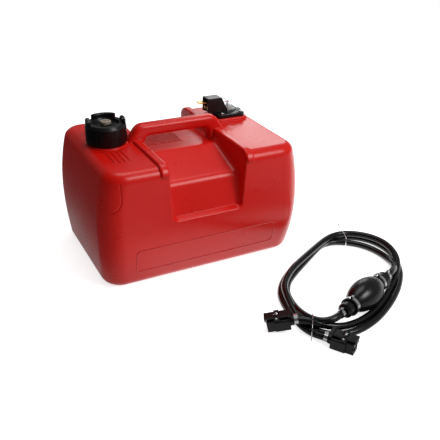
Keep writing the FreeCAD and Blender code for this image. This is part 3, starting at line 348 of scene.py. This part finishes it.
# %% Give each CAD node its material
made_of = {
    red: ["tank_shell"],
    nylon: ["filler_cap", "cap_baffle", "meter_housing", "bulb_outlet", "bulb_inlet",
            "tank_connector_body", "engine_connector_body", "tank_connector_lever",
            "engine_connector_lever"],
    rubber: ["cap_gasket", "vent_seal", "meter_gasket", "primer_bulb",
             "tank_connector_seal", "engine_connector_seal"],
    zinc: ["meter_screws", "pivot_pin", "float_arm", "bulb_clamps",
           "tie_wires", "tank_connector_pin", "engine_connector_pin",
           "tank_connector_spring", "engine_connector_spring", "tank_connector_clamp",
           "engine_connector_clamp"],
    brass: ["fuel_joint", "catch_plate"],
    aluminium: ["pickup_tube"],
    grey_acetal: ["vent_screw"],
    white_acetal: ["gauge_dial", "pickup_strainer", "outlet_disc", "inlet_disc"],
    orange_acetal: ["gauge_pointer"],
    cell_foam: ["fuel_float"],
    clear: ["gauge_lens"],
}
for material, names in made_of.items():
    for name in names:
        nodes[name].data.materials.clear()
        nodes[name].data.materials.append(material)
for hose in (long_hose, short_hose):
    hose.data.materials.append(rubber)
print("materials:", len(made_of))

# %% [markdown]
# ## The floor
#
# A product is shown on white paper with hardly a shadow.  White paper alone
# comes out grey, and more lamp light would bleach the tank.  So the paper also
# glows, but only for the rays that the camera sees straight or through glass.
# Two more touches are painted reflections, seen in reflections only, where studio cards
# would be: a painted dark reflection on the floor left of the tank, which deepens its
# left end, and a painted bright reflection in front, which makes the lower front paler.

# %% Floor
floor_half = 30.0
paper_glow = 0.78
# strength of the painted bright reflection in front of the tank
painted_reflection_glow = 1.4

floor_mesh = bpy.data.meshes.new("floor")
floor_mesh.from_pydata([(-floor_half, -floor_half, 0), (floor_half, -floor_half, 0),
                        (floor_half, floor_half, 0), (-floor_half, floor_half, 0)],
                       [], [(0, 1, 2, 3)])
floor = bpy.data.objects.new("floor", floor_mesh)
bpy.context.scene.collection.objects.link(floor)
paper, tree, shader, where = new_material("white_paper")
shader.inputs["Roughness"].default_value = 0.6
rays = add_node(tree, "ShaderNodeLightPath")
across = add_node(tree, "ShaderNodeSeparateXYZ", None, Vector=where)
# painted dark reflection: to glossy rays the paper left of the tank is dark grey
painted_dark_reflection = add_node(tree, "ShaderNodeMapRange", None, Value=across.outputs["X"],
                     From_Min=-0.08, From_Max=-0.3, To_Min=0.0, To_Max=1.0)
painted_dark_reflection = add_node(tree, "ShaderNodeMath", {"operation": "MULTIPLY"},
                     _0=painted_dark_reflection.outputs[0], _1=rays.outputs["Is Glossy Ray"])
shade = two_tones(tree, painted_dark_reflection.outputs[0], "#F0F0F0", "#3A3A3A")
connect(tree, shade.outputs[2], shader, "Base Color")
seen = add_node(tree, "ShaderNodeMath", {"operation": "MAXIMUM"},
                _0=rays.outputs["Is Camera Ray"], _1=rays.outputs["Is Transmission Ray"])
# painted bright reflection: to glossy rays the paper in front of the tank glows
near = add_node(tree, "ShaderNodeMapRange", None, Value=across.outputs["Y"],
                From_Min=-0.38, From_Max=-0.18, To_Min=0.0, To_Max=painted_reflection_glow)
front = add_node(tree, "ShaderNodeMapRange", None, Value=across.outputs["X"],
                 From_Min=-0.24, From_Max=-0.08, To_Min=0.0, To_Max=1.0)
painted_bright_reflection = add_node(tree, "ShaderNodeMath", {"operation": "MULTIPLY"},
                       _0=near.outputs[0], _1=front.outputs[0])
painted_bright_reflection = add_node(tree, "ShaderNodeMath", {"operation": "MULTIPLY"},
                       _0=painted_bright_reflection.outputs[0], _1=rays.outputs["Is Glossy Ray"])
glow = add_node(tree, "ShaderNodeMath", {"operation": "MULTIPLY_ADD"},
                _0=seen.outputs[0], _1=paper_glow, _2=painted_bright_reflection.outputs[0])
shader.inputs["Emission Color"].default_value = (1, 1, 1, 1)
connect(tree, glow.outputs[0], shader, "Emission Strength")
floor.data.materials.append(paper)
print("floor half width in metres:", floor_half)

# %% [markdown]
# ## Lamps and room
#
# Three softboxes light the tank: the key from the front right, a weak one from
# above and a small one from behind.  The room is white to the camera.  To all
# other rays it is dim on the left and brighter on the right, so that the left
# end falls off into deep red.

# %% Lamps and world


def softbox(name, place, target, size, power):
    """A rectangular area lamp of a size in metres that looks at a target."""
    lamp = bpy.data.lights.new(name, "AREA")
    lamp.shape = "RECTANGLE"
    lamp.size = size[0]
    lamp.size_y = size[1]
    lamp.energy = power
    made = bpy.data.objects.new(name, lamp)
    made.location = place
    made.rotation_mode = "QUATERNION"
    made.rotation_quaternion = (Vector(target) - Vector(place)).to_track_quat("-Z", "Y")
    made.visible_camera = False
    bpy.context.scene.collection.objects.link(made)


softbox("key", (0.9, -1.5, 1.7), (0.05, -0.1, 0.1), (0.9, 0.9), 28.0)
softbox("top", (0.2, 0.3, 2.0), (0.1, 0.0, 0.1), (1.2, 1.0), 12.0)
softbox("rear", (1.25, 1.65, 0.95), (0.15, 0.0, 0.2), (0.8, 0.5), 5.0)

dim_side = 0.04
bright_side = 0.28
dim_until = -0.9
bright_from = 0.6
world = bpy.data.worlds.new("studio")
world.use_nodes = True
bpy.context.scene.world = world
tree = world.node_tree
tree.nodes.clear()
side = add_node(tree, "ShaderNodeSeparateXYZ", None,
                Vector=add_node(tree, "ShaderNodeTexCoord").outputs["Generated"])
fill = add_node(tree, "ShaderNodeMapRange", None, Value=side.outputs["X"],
                From_Min=dim_until, From_Max=bright_from, To_Min=dim_side, To_Max=bright_side)
rays = add_node(tree, "ShaderNodeLightPath")
seen = add_node(tree, "ShaderNodeMath", {"operation": "MAXIMUM"},
                _0=rays.outputs["Is Camera Ray"], _1=rays.outputs["Is Transmission Ray"])
level = add_node(tree, "ShaderNodeMix", None, _0=seen.outputs[0], _2=fill.outputs[0], _3=1.0)
sky = add_node(tree, "ShaderNodeBackground", None, Color=(1, 1, 1, 1), Strength=level.outputs[0])
add_node(tree, "ShaderNodeOutputWorld", None, Surface=sky.outputs[0])
print("three softboxes and a white room")
